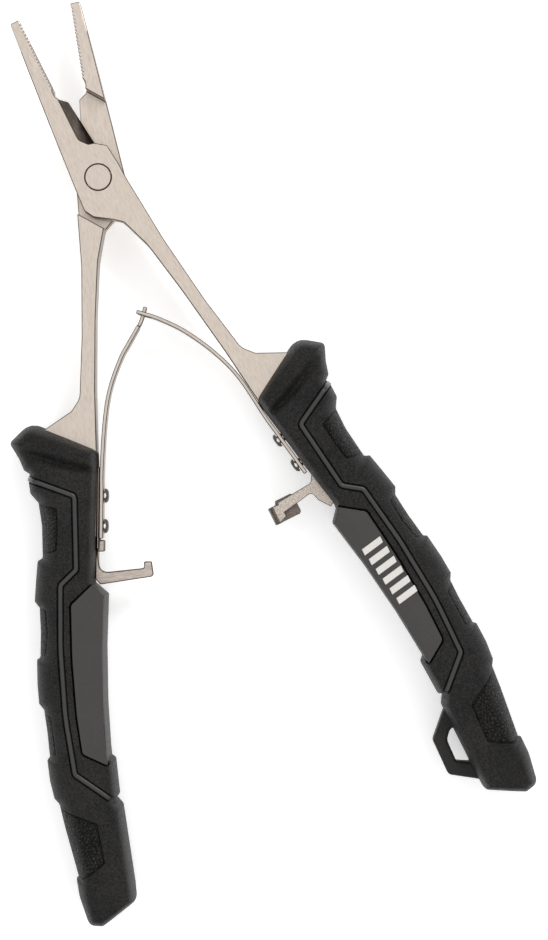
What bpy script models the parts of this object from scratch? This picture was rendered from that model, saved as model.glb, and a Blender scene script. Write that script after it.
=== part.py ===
"""Long-nose fishing pliers with sprung handles, a side cutter, a lanyard loop and a handle latch.

The two levers are one forging used twice: the left lever is the right lever turned half a turn about
its own length. Each lever has its own frame: X to its handle's outer side, Y towards its jaw tip, and
Z = 0 at the middle of the steel. The tooth line lies on X = 0 and the pivot axis passes through 0, 0.
The whole object's origin is the middle of the rivet's upper face, with +Y along the bisector of the
levers, towards the jaws. Lengths are in millimetres until a mesh is made.
"""

import math

import bmesh
import bpy
from mathutils import Matrix, Vector

MM = 0.001

# Driving dimensions
OPENING = 17.11            # angle between the two tooth lines with the springs relaxed, degrees
LEFT_SPLAY = 0.75          # how much further out the left handle stands on its lever, degrees
JAW_TIP = 41.7             # pivot to jaw tip
STEEL = 7.0                # thickness of the levers
JAW_TIP_STEEL = 4.6        # thickness of the jaws at their tips
TANG = 4.4                 # thickness of the tang inside the handle
LAP_GAP = 0.3              # gap between the two laps at the pivot
CLEAR = 0.3                # gap between pieces that touch
RIVET_R = 3.0
RIVET_PROUD = 0.15
RUNNING = 0.1              # radial clearance of a pin in its hole
GRIP = 17.0                # thickness of the soft grip
INLAY = 16.6               # thickness of the hard inlay
CORE = 10.4                # thickness of the moulded core
RIB_WIDTH = 1.1
RIB_TOP = 8.2
RIB_DEPTH = 1.0
LEAF = 0.9                 # thickness of the leaf springs
LEAF_WIDTH = 5.0
TONGUE_WIDTH = 2.0
LATCH_PLATE = 1.2
HOOK_PLATE = 1.5
LOOP_PLATE = 4.0
SCREW_HEAD_R = 1.75
SCREW_HEAD = 0.9
SCREW_R = 1.0
TOOTH_PITCH = 0.9
TOOTH_DEPTH = 0.45
TOOTH_FIRST = 24.2
TOOTH_COUNT = 19

# Where the straight inner face of each handle starts, and the way it runs
RAIL_START = Vector((10.45, -66.3))
RAIL_END = Vector((14.40, -90.5))
RAIL = (RAIL_END - RAIL_START).normalized()
RAIL_OUT = Vector((RAIL.y, -RAIL.x))
SCREW_RUNS = (7.8, 15.0)
LEAF_END_RUN = 17.9
LEAF_BASE_RUNS = (LEAF_END_RUN, 12.0, 6.0, 1.5)
LEAF_HINGE = Vector((8.5, -55.0))
LATCH_PIN = Vector((17.2, -88.8))
LATCH_PIN_R = 1.0
PIN_HALF = 4.6             # the latch pin reaches this far to either side
PIN_HOLE_HALF = 4.9
SCREW_REACH = 4.0          # the screws' length in the tang, from its inner face
SCREW_HOLE = 4.2
SCREW_SIDES = 16
SHEET_REACH = 2.0          # half length of the tool that drills the sheet pieces
PIVOT_SIDES = 40
JAW_ROOT = 22.0            # the jaw's taper starts here
SPLAY_START = -12.0        # the left shank starts to bend outwards here
SPLAY_LENGTH = 30.0
BEVEL_LAND = 0.5           # height of the cutting edge above the lap's middle
BEVEL_OUTER = 2.75         # where the cutter's ground face ends
BEVEL_WIDTH = 2.95
LEFT_SEAT = 0.85           # gap under the left spring, which the hook's leg fills

MIDDLE_Z = -(STEEL / 2 + RIVET_PROUD)

# Outlines: (x, y) or (x, y, corner radius)
LEVER = [
    (-2.45, JAW_TIP, 0.4),
    (-3.55, 30.0, 20.0),
    (-5.1, 12.0, 20.0),
    (-6.15, -1.0, 8.0),
    (-6.45, -5.7, 1.6),
    (-5.2, -7.9, 1.2),
    (-1.2, -10.6, 0.8),
    (0.7, -12.2, 2.0),
    (3.3, -19.5, 18.0),
    (5.7, -32.5, 60.0),
    (8.4, -50.0, 60.0),
    (10.45, -66.3, 30.0),
    (13.3, -83.7, 0.3),
    (19.7, -84.6, 0.6),
    (20.5, -94.0, 10.0),
    (21.6, -110.0, 10.0),
    (22.4, -128.0, 1.2),
    (25.6, -128.0, 1.2),
    (25.0, -112.0, 10.0),
    (23.2, -92.0, 10.0),
    (21.0, -76.0, 10.0),
    (19.2, -66.5, 2.0),
    (22.4, -59.0, 1.2),
    (21.7, -56.7, 0.5),
    (14.6, -53.5, 2.0),
    (12.2, -50.8, 4.0),
    (9.6, -37.0, 40.0),
    (7.3, -20.0, 40.0),
    (5.85, -3.0, 30.0),
    (5.75, 1.0, 4.0),
    (5.2, 6.0, 0.4),
    (2.75, 7.6, 0.2),
    (1.6, 19.5, 0.4),
    (-0.15, 20.6, 0.2),
    (-0.65, 21.6, 0.4),
    (-0.65, 22.9, 0.4),
    (-0.15, 23.7, 0.2),
    (-0.15, JAW_TIP, 0.3),
]
LAP_CUT = [(-9.0, 14.3), (3.0, 23.8), (9.0, 23.8), (9.0, -5.5), (-3.0, -14.97), (-9.0, -14.97)]
TANG_ZONE = [(6.0, -67.2), (40.0, -67.2), (40.0, -140.0), (6.0, -140.0)]
CUTTER_BEVEL = [(-0.2, 22.5), (-0.2, 9.9, 1.9), (1.4, 7.95, 0.8), (4.5, 7.2), (4.5, 22.5)]
GRIP_OUTLINE = [
    (10.4, -64.8, 1.5),
    (24.6, -54.8, 2.4),
    (30.3, -58.8, 1.6),
    (26.8, -67.4, 4.0),
    (26.0, -77.0, 20.0),
    (29.9, -95.0, 10.0),
    (32.6, -117.0, 30.0),
    (32.7, -139.0, 30.0),
    (30.0, -163.0, 20.0),
    (28.9, -172.6, 3.2),
    (24.5, -173.4, 3.0),
    (16.8, -169.0, 2.0),
    (16.9, -146.0, 4.0),
    (17.4, -135.5, 4.0),
    (14.9, -108.0, 30.0),
    (12.9, -98.0, 1.0),
    (14.9, -93.4, 1.0),
]
INLAY_OUTLINE = [
    (15.5, -94.1, 0.3),
    (12.8, -97.8, 0.8),
    (15.1, -109.0, 40.0),
    (17.0, -123.0, 60.0),
    (18.2, -136.9, 0.4),
    (23.9, -133.2, 1.6),
    (23.9, -124.0, 40.0),
    (23.0, -111.0, 60.0),
    (21.4, -98.3, 1.6),
]
CORE_OUTLINE = [
    (12.8, -68.3, 1.0),
    (22.2, -67.5, 1.5),
    (22.7, -76.0, 10.0),
    (25.1, -91.0, 10.0),
    (28.0, -112.0, 20.0),
    (28.8, -130.0, 20.0),
    (28.2, -142.0, 10.0),
    (25.4, -167.0, 1.5),
    (20.4, -166.0, 1.5),
    (20.4, -148.0, 2.0),
    (21.0, -134.0, 10.0),
    (18.6, -113.0, 10.0),
    (16.6, -98.0, 2.0),
    (17.3, -95.0, 1.0),
]
RIB_LINE = [
    (24.6, -68.4),
    (16.6, -73.2, 1.2),
    (18.7, -90.4, 1.2),
    (22.9, -93.4, 1.6),
    (25.1, -108.0, 60.0),
    (26.4, -124.0, 60.0),
    (26.2, -137.6, 1.4),
    (21.2, -142.3),
]
RIGHT_LEAF = [(8.6, -57.0), (6.0, -49.0), (2.0, -41.4), (-2.0, -36.2), (-4.7, -33.5), (-6.1, -32.2)]
LEFT_LEAF = [(7.3, -57.1), (4.9, -49.6), (1.4, -43.0), (-0.9, -39.9), (-4.0, -35.9)]
LEFT_LEAF += [(-5.4, -33.5), (-6.2, -31.6)]
SLOT_BACK = 1.6            # how far the right leaf's slot reaches on either side of the crossing
SLOT_FRONT = 1.1
LATCH_OUTLINE = [
    (19.3, -87.4, 1.2),
    (18.0, -86.0, 1.2),
    (13.6, -84.8, 0.1),
    (12.6, -86.7, 1.2),
    (1.0, -87.5, 0.4),
    (1.0, -90.5, 0.3),
    (11.8, -88.8, 1.2),
    (12.6, -91.2, 0.4),
    (14.9, -93.0, 0.1),
    (18.4, -91.4, 1.2),
    (19.6, -89.6, 1.2),
]
LATCH_WALL = [(0.5, -87.5), (1.7, -87.5), (1.7, -92.0), (0.5, -92.0)]
LATCH_TAB = [(0.8, -87.1), (7.6, -86.9), (7.6, -91.6), (0.8, -91.8)]
LATCH_LOW = HOOK_PLATE / 2 + 0.15
LATCH_HIGH = LATCH_LOW + LATCH_PLATE
LATCH_POCKET = [(11.0, -83.9), (19.0, -84.95), (19.95, -88.0), (19.6, -94.0), (12.0, -94.0)]
HOOK_NOSE = [(1.4, -94.9, 0.5), (1.4, -91.1, 0.2), (3.3, -91.1, 0.3), (3.3, -92.6, 0.5)]
HOOK_LEG_TOP = 1.0         # runs along the handle, as in rail_point
HOOK_LEG_END = 20.4
HOOK_INNER = 24.0
HOOK_HEEL = 27.6
HOOK_GAP = 0.1             # gap on either side of the hook's leg
LOOP_OUTLINE = [
    (19.8, -148.6, 0.6),
    (16.9, -148.4, 0.6),
    (11.2, -153.9, 1.6),
    (10.9, -162.8, 1.4),
    (16.9, -167.0, 0.6),
    (19.8, -166.4, 0.6),
]
LOOP_HOLE = [
    (16.9, -153.3, 0.5),
    (15.7, -153.5, 0.5),
    (14.1, -155.5, 0.6),
    (14.0, -160.8, 0.6),
    (16.9, -162.5, 0.3),
]


def corner(before, at, after, radius, steps):
    """Points of the arc that rounds one corner of an outline."""
    to_before = (before - at).normalized()
    to_after = (after - at).normalized()
    turn = math.pi - to_before.angle(to_after)
    if turn < 0.01:
        return [at] * (steps + 1)
    reach = min(radius * math.tan(turn / 2), 0.45 * (before - at).length, 0.45 * (after - at).length)
    start = at + to_before * reach
    end = at + to_after * reach
    points = []
    for k in range(steps + 1):
        t = k / steps
        points.append(start * (1 - t) ** 2 + at * 2 * t * (1 - t) + end * t**2)
    return points


def rounded(outline, steps=3, closed=True):
    """Outline with its corners rounded. Every rounded corner gives the same number of points."""
    corners = [Vector(p[:2]) for p in outline]
    radii = [p[2] if len(p) > 2 else 0.0 for p in outline]
    points = []
    for i, at in enumerate(corners):
        is_end = not closed and i in (0, len(corners) - 1)
        if radii[i] == 0.0 or is_end:
            points.append(at)
        else:
            points += corner(corners[i - 1], at, corners[(i + 1) % len(corners)], radii[i], steps)
    return points


def area(points):
    """Signed area, positive for an outline that runs anticlockwise."""
    return sum(a.x * b.y - b.x * a.y for a, b in zip(points, points[1:] + points[:1])) / 2


def grown(points, by):
    """Closed outline with each side moved out by a distance, or in by a negative one."""
    way = 1.0 if area(points) > 0 else -1.0
    moved = []
    for i, at in enumerate(points):
        first = (at - points[i - 1]).normalized()
        second = (points[(i + 1) % len(points)] - at).normalized()
        normal_1 = Vector((first.y, -first.x)) * way
        normal_2 = Vector((second.y, -second.x)) * way
        moved.append(at + (normal_1 + normal_2) * (by / max(0.4, 1 + normal_1.dot(normal_2))))
    return moved


def grown_outline(outline, by):
    """The same for an outline that still holds its corner radii."""
    corners = grown([Vector(p[:2]) for p in outline], by)
    return [(at.x, at.y, *p[2:]) for at, p in zip(corners, outline)]


def tidy(points, least=0.02):
    """Drops points that lie on the one before."""
    return [p for i, p in enumerate(points) if (p - points[i - 1]).length > least]


def band(line, half_width):
    """Closed outline of a strip along an open line."""
    left, right = [], []
    for i, at in enumerate(line):
        before = line[max(i - 1, 0)]
        after = line[min(i + 1, len(line) - 1)]
        along = (after - before).normalized()
        side = Vector((-along.y, along.x)) * half_width
        left.append(at + side)
        right.append(at - side)
    return left + right[::-1]


def smooth(points, per_span):
    """Catmull-Rom curve through a few points."""
    controls = [points[0] * 2 - points[1]] + points + [points[-1] * 2 - points[-2]]
    curve = []
    for i in range(1, len(controls) - 2):
        a, b, c, d = controls[i - 1 : i + 3]
        for k in range(per_span):
            t = k / per_span
            square = (a * 2 - b * 5 + c * 4 - d) * t**2
            cube = (b * 3 - a - c * 3 + d) * t**3
            curve.append((b * 2 + (c - a) * t + square + cube) / 2)
    curve.append(points[-1])
    return curve


def turned(point, degrees):
    """A 2D point turned about the pivot."""
    angle = math.radians(degrees)
    return Vector(
        (
            point.x * math.cos(angle) - point.y * math.sin(angle),
            point.x * math.sin(angle) + point.y * math.cos(angle),
        )
    )


def rail_point(run, out):
    """A point beside the handle's inner face: run along it, out away from it."""
    return RAIL_START + RAIL * run + RAIL_OUT * out


def frame(name, parent=None, place=(0, 0, 0), turn=None):
    """An empty that carries pieces."""
    empty = bpy.data.objects.new(name, None)
    bpy.context.scene.collection.objects.link(empty)
    empty.parent = parent
    empty.location = Vector(place) * MM
    if turn is not None:
        empty.rotation_euler = turn
    return empty


def material(name, colour, roughness, metallic):
    made = bpy.data.materials.new(name)
    made.use_nodes = True
    shader = made.node_tree.nodes["Principled BSDF"]
    shader.inputs["Base Color"].default_value = (*colour, 1.0)
    shader.inputs["Roughness"].default_value = roughness
    shader.inputs["Metallic"].default_value = metallic
    return made


def new_object(name, shape, parent=None, finish=None, place=(0, 0)):
    """Object from a bmesh drawn in millimetres in the parent's lever frame, with its origin at place."""
    bmesh.ops.recalc_face_normals(shape, faces=shape.faces)
    bmesh.ops.transform(shape, matrix=Matrix.Translation((-place[0], -place[1], 0)), verts=shape.verts)
    bmesh.ops.scale(shape, vec=(MM, MM, MM), verts=shape.verts)
    mesh = bpy.data.meshes.new(name)
    shape.to_mesh(mesh)
    shape.free()
    made = bpy.data.objects.new(name, mesh)
    bpy.context.scene.collection.objects.link(made)
    made.parent = parent
    made.location = (place[0] * MM, place[1] * MM, 0)
    if finish:
        mesh.materials.append(finish)
    return made


def loft(rings):
    """Closed shape from rings of equal length, each a list of points and a height."""
    shape = bmesh.new()
    rows = [[shape.verts.new((p.x, p.y, z)) for p in points] for points, z in rings]
    for low, high in zip(rows, rows[1:]):
        for i in range(len(low)):
            j = (i + 1) % len(low)
            shape.faces.new((low[i], low[j], high[j], high[i]))
    shape.faces.new(rows[0][::-1])
    shape.faces.new(rows[-1])
    return shape


def slab(outline, low, high):
    """Plate with square edges. Takes plain points."""
    return loft([(outline, low), (outline, high)])


def soft_slab(outline, thickness, edge, steps=3):
    """Plate with rounded edges. Takes corners with radii, so that each ring has the same points."""
    half = thickness / 2
    near = edge * 0.3
    rings = []
    for inset, z in ((edge, half), (near, half - near), (0.0, half - edge)):
        rings.append((rounded(grown_outline(outline, -inset), steps), z))
    return loft([(points, -z) for points, z in rings] + rings[::-1])


def rod(centre, radius, start, end, along=None, sides=24, head=None):
    """Round bar along Z, or along a direction in the lever's plane, with an optional domed head."""
    profile = [(radius, start), (radius, end)]
    if head:
        head_radius, head_height = head
        dome = 4
        profile += [(head_radius, end)]
        for k in range(1, dome):
            angle = k / dome * math.pi / 2
            profile.append((head_radius * math.cos(angle) ** 0.6, end + head_height * math.sin(angle)))
    shape = bmesh.new()
    rows = []
    for r, z in profile:
        ring = []
        for k in range(sides):
            angle = 2 * math.pi * k / sides
            ring.append(shape.verts.new((r * math.cos(angle), r * math.sin(angle), z)))
        rows.append(ring)
    for low, high in zip(rows, rows[1:]):
        for i in range(sides):
            j = (i + 1) % sides
            shape.faces.new((low[i], low[j], high[j], high[i]))
    shape.faces.new(rows[0][::-1])
    shape.faces.new(rows[-1])
    turn = Matrix.Identity(4)
    if along is not None:
        turn = Vector((0, 0, 1)).rotation_difference(Vector((along.x, along.y, 0))).to_matrix().to_4x4()
    bmesh.ops.transform(shape, matrix=Matrix.Translation((centre.x, centre.y, 0)) @ turn, verts=shape.verts)
    return shape


def combine(target, shape, how="DIFFERENCE"):
    """Boolean of a finished object with a tool shape drawn in the same lever frame."""
    tool = new_object(target.name + "_tool", shape, target.parent, place=(0, 0))
    tool.hide_render = True
    tool.display_type = "WIRE"
    step = target.modifiers.new(how.lower(), "BOOLEAN")
    step.operation = how
    step.solver = "EXACT"
    step.object = tool


def shade(made, degrees=35):
    made.data.shade_smooth()
    made.data.set_sharp_from_angle(angle=math.radians(degrees))


def lever_shape(splay):
    """The forging's plate, with its jaw thinned towards the tip."""
    points = []
    for p in tidy(rounded(LEVER)):
        share = min(max((SPLAY_START - p.y) / SPLAY_LENGTH, 0.0), 1.0)
        points.append(turned(p, splay * share * share * (3 - 2 * share)))
    shape = slab(points, -STEEL / 2, STEEL / 2)
    whole = shape.verts[:] + shape.edges[:] + shape.faces[:]
    bmesh.ops.bisect_plane(shape, geom=whole, plane_co=(0, JAW_ROOT, 0), plane_no=(0, 1, 0))
    for vert in shape.verts:
        share = max((vert.co.y - JAW_ROOT) / (JAW_TIP - JAW_ROOT), 0.0)
        vert.co.z *= 1 - share * (1 - JAW_TIP_STEEL / STEEL)
    return shape


def teeth_shape():
    """The row of notches between the jaw's teeth."""
    teeth = bmesh.new()
    wide = 0.6
    face = -0.15
    for k in range(TOOTH_COUNT):
        y = TOOTH_FIRST + k * TOOTH_PITCH
        notch = [(wide, y - 0.4), (wide, y + 0.4), (face, y + 0.4), (face - TOOTH_DEPTH, y), (face, y - 0.4)]
        rows = [[teeth.verts.new((px, py, z)) for px, py in notch] for z in (-STEEL, STEEL)]
        for i in range(len(notch)):
            j = (i + 1) % len(notch)
            teeth.faces.new((rows[0][i], rows[0][j], rows[1][j], rows[1][i]))
        teeth.faces.new(rows[0][::-1])
        teeth.faces.new(rows[1])
    return teeth


def add_lever(name, parent, splay, steel):
    made = new_object(name, lever_shape(splay), parent, steel)
    combine(made, slab([Vector(p) for p in LAP_CUT], -STEEL, LAP_GAP / 2))
    bevel = slab(rounded(CUTTER_BEVEL), 0.0, STEEL)
    for vert in bevel.verts:
        if vert.co.z < STEEL / 2:
            vert.co.z = BEVEL_LAND + (BEVEL_OUTER - vert.co.x) * (STEEL / 2 - 0.7) / BEVEL_WIDTH
    combine(made, bevel)
    combine(made, teeth_shape())
    combine(made, rod(Vector((0, 0)), RIVET_R + RUNNING, -STEEL, STEEL, sides=PIVOT_SIDES))
    tang_zone = [turned(Vector(p), splay) for p in TANG_ZONE]
    combine(made, slab(tang_zone, TANG / 2, STEEL))
    combine(made, slab(tang_zone, -STEEL, -TANG / 2))
    for run in SCREW_RUNS:
        at = turned(rail_point(run, 0.0), splay)
        hole = rod(at, SCREW_R + RUNNING, -SCREW_HOLE, 1.0, along=turned(RAIL_OUT, splay), sides=SCREW_SIDES)
        combine(made, hole)
    return made


def tang_outline(by):
    """The tang's outline inside the handle, grown by a clearance."""
    inside = [p for p in tidy(rounded(LEVER)) if p.y < -40.0]
    return grown(inside, by)


def add_handle(side, parent, finishes):
    """Soft grip, moulded core, hard inlay and the two ribs of one handle."""
    grip = new_object(side + "_grip", soft_slab(GRIP_OUTLINE, GRIP, 3.0), parent, finishes["soft_grip"])
    core = new_object(side + "_core", soft_slab(CORE_OUTLINE, CORE, 1.2, 2), parent, finishes["core_nylon"])
    body = soft_slab(INLAY_OUTLINE, INLAY, 1.2, 3)
    inlay = new_object(side + "_inlay", body, parent, finishes["inlay_nylon"])

    core_room = rounded(grown_outline(CORE_OUTLINE, CLEAR), 2)
    inlay_room = rounded(grown_outline(INLAY_OUTLINE, CLEAR), 3)
    steel_room = tang_outline(CLEAR)
    combine(grip, slab(inlay_room, -GRIP, GRIP))
    combine(grip, slab(core_room, -CORE / 2 - CLEAR, CORE / 2 + CLEAR))
    combine(grip, slab(steel_room, -STEEL / 2 - CLEAR, STEEL / 2 + CLEAR))
    combine(inlay, slab(core_room, -CORE / 2 - CLEAR, CORE / 2 + CLEAR))
    combine(core, slab(steel_room, -TANG / 2 - CLEAR, TANG / 2 + CLEAR))

    rib_line = rounded(RIB_LINE, 3, closed=False)
    for face, way in (("front", 1.0), ("back", -1.0)):
        low, high = sorted((way * (RIB_TOP - RIB_DEPTH), way * RIB_TOP))
        rib = slab(band(rib_line, RIB_WIDTH / 2), low, high)
        new_object(f"{side}_rib_{face}", rib, parent, finishes["rib_nylon"])
        low, high = sorted((way * (RIB_TOP - RIB_DEPTH - CLEAR), way * GRIP))
        room_line = list(rib_line)
        room_line[0] = room_line[0] + (room_line[0] - room_line[1]).normalized() * CLEAR
        room_line[-1] = room_line[-1] + (room_line[-1] - room_line[-2]).normalized() * CLEAR
        combine(grip, slab(band(room_line, RIB_WIDTH / 2 + CLEAR), low, high))
    return grip, core


def add_leaf(side, parent, seat, steel):
    """Flat spring along the handle's inner face, then bowed in to meet the other one at the middle."""
    gap = seat + LEAF / 2
    base = [rail_point(run, gap) for run in LEAF_BASE_RUNS]
    free = [Vector(p) for p in (RIGHT_LEAF if side == "right" else LEFT_LEAF)]
    strip = band(smooth(base + free, 4), LEAF / 2)
    hinge = (LEAF_HINGE.x, LEAF_HINGE.y)
    made = new_object(side + "_spring", slab(strip, -LEAF_WIDTH / 2, LEAF_WIDTH / 2), parent, steel, hinge)
    if side == "right":
        crossing = free[-2]
        along = (free[-1] - crossing).normalized()
        slot = band([crossing - along * SLOT_BACK, crossing + along * SLOT_FRONT], LEAF * 2)
        combine(made, slab(slot, -TONGUE_WIDTH / 2 - CLEAR, TONGUE_WIDTH / 2 + CLEAR))
    else:
        for way in (1.0, -1.0):
            beyond = free[-1] + (free[-1] - free[-2]) * 2
            side_cut = band([free[-3], beyond], LEAF * 2.5)
            low, high = sorted((way * TONGUE_WIDTH / 2, way * LEAF_WIDTH))
            combine(made, slab(side_cut, low, high))
    for run in SCREW_RUNS:
        at = rail_point(run, gap)
        hole = rod(at, SCREW_R + RUNNING, -SHEET_REACH, SHEET_REACH, along=RAIL_OUT, sides=SCREW_SIDES)
        combine(made, hole)
    return made


def add_screws(side, parent, seat, steel):
    for label, run in zip(("upper", "lower"), SCREW_RUNS):
        at = rail_point(run, 0.0)
        under_head = seat + LEAF + RUNNING
        screw = rod(at, SCREW_R, -SCREW_REACH, under_head, RAIL_OUT, SCREW_SIDES, (SCREW_HEAD_R, SCREW_HEAD))
        new_object(f"{side}_spring_screw_{label}", screw, parent, steel)


def add_hook(parent, seat, steel):
    """Stamped bracket: a leg under the left spring and an arm that ends in an upturned nose."""
    leg_thick = seat - 2 * HOOK_GAP
    top = rail_point(HOOK_LEG_TOP, HOOK_GAP + leg_thick)
    top_back = rail_point(HOOK_LEG_TOP, HOOK_GAP)
    inner = rail_point(HOOK_INNER, HOOK_GAP + leg_thick)
    heel = rail_point(HOOK_HEEL, HOOK_GAP)
    outline = HOOK_NOSE + [(inner.x - 1.6, -92.2, 1.0), (inner.x, inner.y, 1.2)]
    outline += [(top.x, top.y), (top_back.x, top_back.y), (heel.x, heel.y, 0.2), (heel.x - 1.2, -94.9, 0.4)]
    plate = slab(rounded(outline), -HOOK_PLATE / 2, HOOK_PLATE / 2)
    made = new_object("left_latch_hook", plate, parent, steel)
    middle = HOOK_GAP + leg_thick / 2
    leg = band([rail_point(HOOK_LEG_TOP, middle), rail_point(HOOK_LEG_END, middle)], leg_thick / 2)
    combine(made, slab(leg, -LEAF_WIDTH / 2, LEAF_WIDTH / 2), "UNION")
    for run in SCREW_RUNS:
        at = rail_point(run, 0.5)
        hole = rod(at, SCREW_R + RUNNING, -SHEET_REACH, SHEET_REACH, along=RAIL_OUT, sides=SCREW_SIDES)
        combine(made, hole)
    return made


def add_latch(handle, steel):
    """Latch of the right handle: a plate on a pin, with its end bent down and back under itself."""
    at = (LATCH_PIN.x, LATCH_PIN.y)
    parent = frame("right_latch_frame", handle)
    made = new_object("right_latch", slab(rounded(LATCH_OUTLINE), LATCH_LOW, LATCH_HIGH), parent, steel, at)
    overlap = 0.05
    combine(made, slab([Vector(p) for p in LATCH_WALL], -LATCH_HIGH, LATCH_HIGH - overlap), "UNION")
    combine(made, slab([Vector(p) for p in LATCH_TAB], -LATCH_HIGH + overlap, -LATCH_LOW), "UNION")
    combine(made, rod(LATCH_PIN, LATCH_PIN_R + RUNNING, -SCREW_REACH, SCREW_REACH))
    new_object("latch_pin", rod(LATCH_PIN, LATCH_PIN_R, -PIN_HALF, PIN_HALF), handle, steel, at)
    return made


def add_loop(parent, finish):
    plate = slab(rounded(LOOP_OUTLINE), -LOOP_PLATE / 2, LOOP_PLATE / 2)
    made = new_object("lanyard_loop", plate, parent, finish)
    combine(made, slab(rounded(LOOP_HOLE), -LOOP_PLATE, LOOP_PLATE))
    return made


def main():
    for old in list(bpy.data.objects):
        bpy.data.objects.remove(old)
    finishes = {
        "satin_steel": material("satin_steel", (0.62, 0.57, 0.52), 0.36, 1.0),
        "spring_steel": material("spring_steel", (0.66, 0.61, 0.56), 0.32, 1.0),
        "screw_steel": material("screw_steel", (0.5, 0.47, 0.45), 0.2, 1.0),
        "soft_grip": material("soft_grip", (0.016, 0.015, 0.015), 0.62, 0.0),
        "core_nylon": material("core_nylon", (0.02, 0.02, 0.02), 0.5, 0.0),
        "inlay_nylon": material("inlay_nylon", (0.05, 0.048, 0.047), 0.38, 0.0),
        "rib_nylon": material("rib_nylon", (0.12, 0.115, 0.11), 0.35, 0.0),
    }
    half = math.radians(OPENING / 2)
    right = frame("right_frame", None, (0, 0, MIDDLE_Z), (0, 0, half))
    left = frame("left_frame", None, (0, 0, MIDDLE_Z), (0, math.pi, -half))
    right_handle = frame("right_handle_frame", right)
    left_handle = frame("left_handle_frame", left, (0, 0, 0), (0, 0, math.radians(LEFT_SPLAY)))

    steel = finishes["satin_steel"]
    levers = [add_lever("right_lever", right, 0.0, steel), add_lever("left_lever", left, LEFT_SPLAY, steel)]
    shank = rod(Vector((0, 0)), RIVET_R, MIDDLE_Z, -MIDDLE_Z, sides=PIVOT_SIDES)
    rivet = new_object("pivot_rivet", shank, right, steel)

    right_grip, right_core = add_handle("right", right_handle, finishes)
    left_grip, _ = add_handle("left", left_handle, finishes)

    spring = finishes["spring_steel"]
    leaves = [
        add_leaf("right", right_handle, CLEAR, spring),
        add_leaf("left", left_handle, LEFT_SEAT, spring),
    ]
    add_screws("right", right_handle, CLEAR, finishes["screw_steel"])
    add_screws("left", left_handle, LEFT_SEAT, finishes["screw_steel"])
    hook = add_hook(left_handle, LEFT_SEAT, spring)

    latch = add_latch(right_handle, spring)
    for body in (right_grip, right_core):
        combine(body, slab([Vector(p) for p in LATCH_POCKET], LATCH_LOW - CLEAR, LATCH_HIGH + CLEAR))
        combine(body, rod(LATCH_PIN, LATCH_PIN_R + RUNNING, -PIN_HOLE_HALF, PIN_HOLE_HALF))
    loop = add_loop(right_handle, finishes["core_nylon"])
    loop_room = rounded(grown_outline(LOOP_OUTLINE, CLEAR))
    combine(right_grip, slab(loop_room, -LOOP_PLATE / 2 - CLEAR, LOOP_PLATE / 2 + CLEAR))

    for made in levers + leaves + [rivet, right_grip, left_grip, hook, latch, loop]:
        shade(made)


main()
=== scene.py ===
"""Looks of the long-nose fishing pliers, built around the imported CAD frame.

Shapes are drawn in millimetres in a lever's own frame, as in the CAD: X to the handle's outer side,
Y towards the jaw tip and Z = 0 in the middle of the steel. side_matrix() puts them in the row frame.
"""

import math

import bmesh
import bpy
import numpy as np
from mathutils import Matrix, Vector


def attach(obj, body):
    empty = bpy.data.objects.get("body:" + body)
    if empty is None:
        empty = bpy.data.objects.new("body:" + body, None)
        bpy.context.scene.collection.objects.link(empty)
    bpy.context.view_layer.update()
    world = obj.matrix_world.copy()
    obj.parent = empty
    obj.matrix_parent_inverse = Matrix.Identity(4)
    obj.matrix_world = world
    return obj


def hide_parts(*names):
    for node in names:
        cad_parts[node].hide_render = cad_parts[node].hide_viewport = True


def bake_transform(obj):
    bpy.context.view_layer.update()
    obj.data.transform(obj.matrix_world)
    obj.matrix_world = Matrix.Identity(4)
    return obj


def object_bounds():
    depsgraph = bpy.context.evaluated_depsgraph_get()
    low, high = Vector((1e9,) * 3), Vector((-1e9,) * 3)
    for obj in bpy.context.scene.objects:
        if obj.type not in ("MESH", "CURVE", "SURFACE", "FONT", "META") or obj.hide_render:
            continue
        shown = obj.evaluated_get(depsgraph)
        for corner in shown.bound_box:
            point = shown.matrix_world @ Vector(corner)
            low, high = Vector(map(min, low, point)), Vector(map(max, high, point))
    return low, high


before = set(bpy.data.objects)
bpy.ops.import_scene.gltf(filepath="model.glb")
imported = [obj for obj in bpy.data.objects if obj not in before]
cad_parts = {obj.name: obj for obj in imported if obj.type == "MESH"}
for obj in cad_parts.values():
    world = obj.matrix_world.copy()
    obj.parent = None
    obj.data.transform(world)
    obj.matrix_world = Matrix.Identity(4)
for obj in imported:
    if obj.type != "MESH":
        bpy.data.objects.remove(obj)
cad_box = [list(corner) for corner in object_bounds()]

MM = 0.001
OPENING = 17.11            # angle between the two tooth lines at rest, degrees
LEFT_SPLAY = 0.75          # how much further out the left handle stands on its lever, degrees
SPLAY_START = -12.0        # the left shank starts to bend outwards here
SPLAY_LENGTH = 30.0
STEEL = 7.0
JAW_TIP = 41.7
JAW_TIP_STEEL = 4.6
JAW_ROOT = 22.0
JAW_CUTS = 8               # extra rows of vertices, so that the jaw can taper
JAW_CUT_PITCH = 2.5
TOOTH_COUNT = 19
TOOTH_FIRST = 24.2
TOOTH_PITCH = 0.9
BEVEL_LAND = 0.5           # height of the cutting edge above the lap's middle
BEVEL_OUTER = 2.75         # where the cutter's ground face ends
BEVEL_WIDTH = 2.95
BEVEL_FALL = STEEL / 2 - 0.7
LAP_GAP = 0.3
CLEAR = 0.3                # gap beside the tongue in the slot
RIVET_R = 3.0
RIVET_PROUD = 0.15
GRIP_HALF = 8.3
INLAY_HALF = 8.2
LEAF = 0.9
LEAF_WIDTH = 5.0
TONGUE_WIDTH = 2.0
SLOT_BACK = 1.6            # how far the right leaf's slot reaches on either side of the crossing
SLOT_FRONT = 1.1
LATCH_PLATE = 1.2
LATCH_LIFT = 0.15          # gap between the hook's plate and the latch's
BEND_AT = 3.1              # where the latch's end starts to turn down
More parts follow.
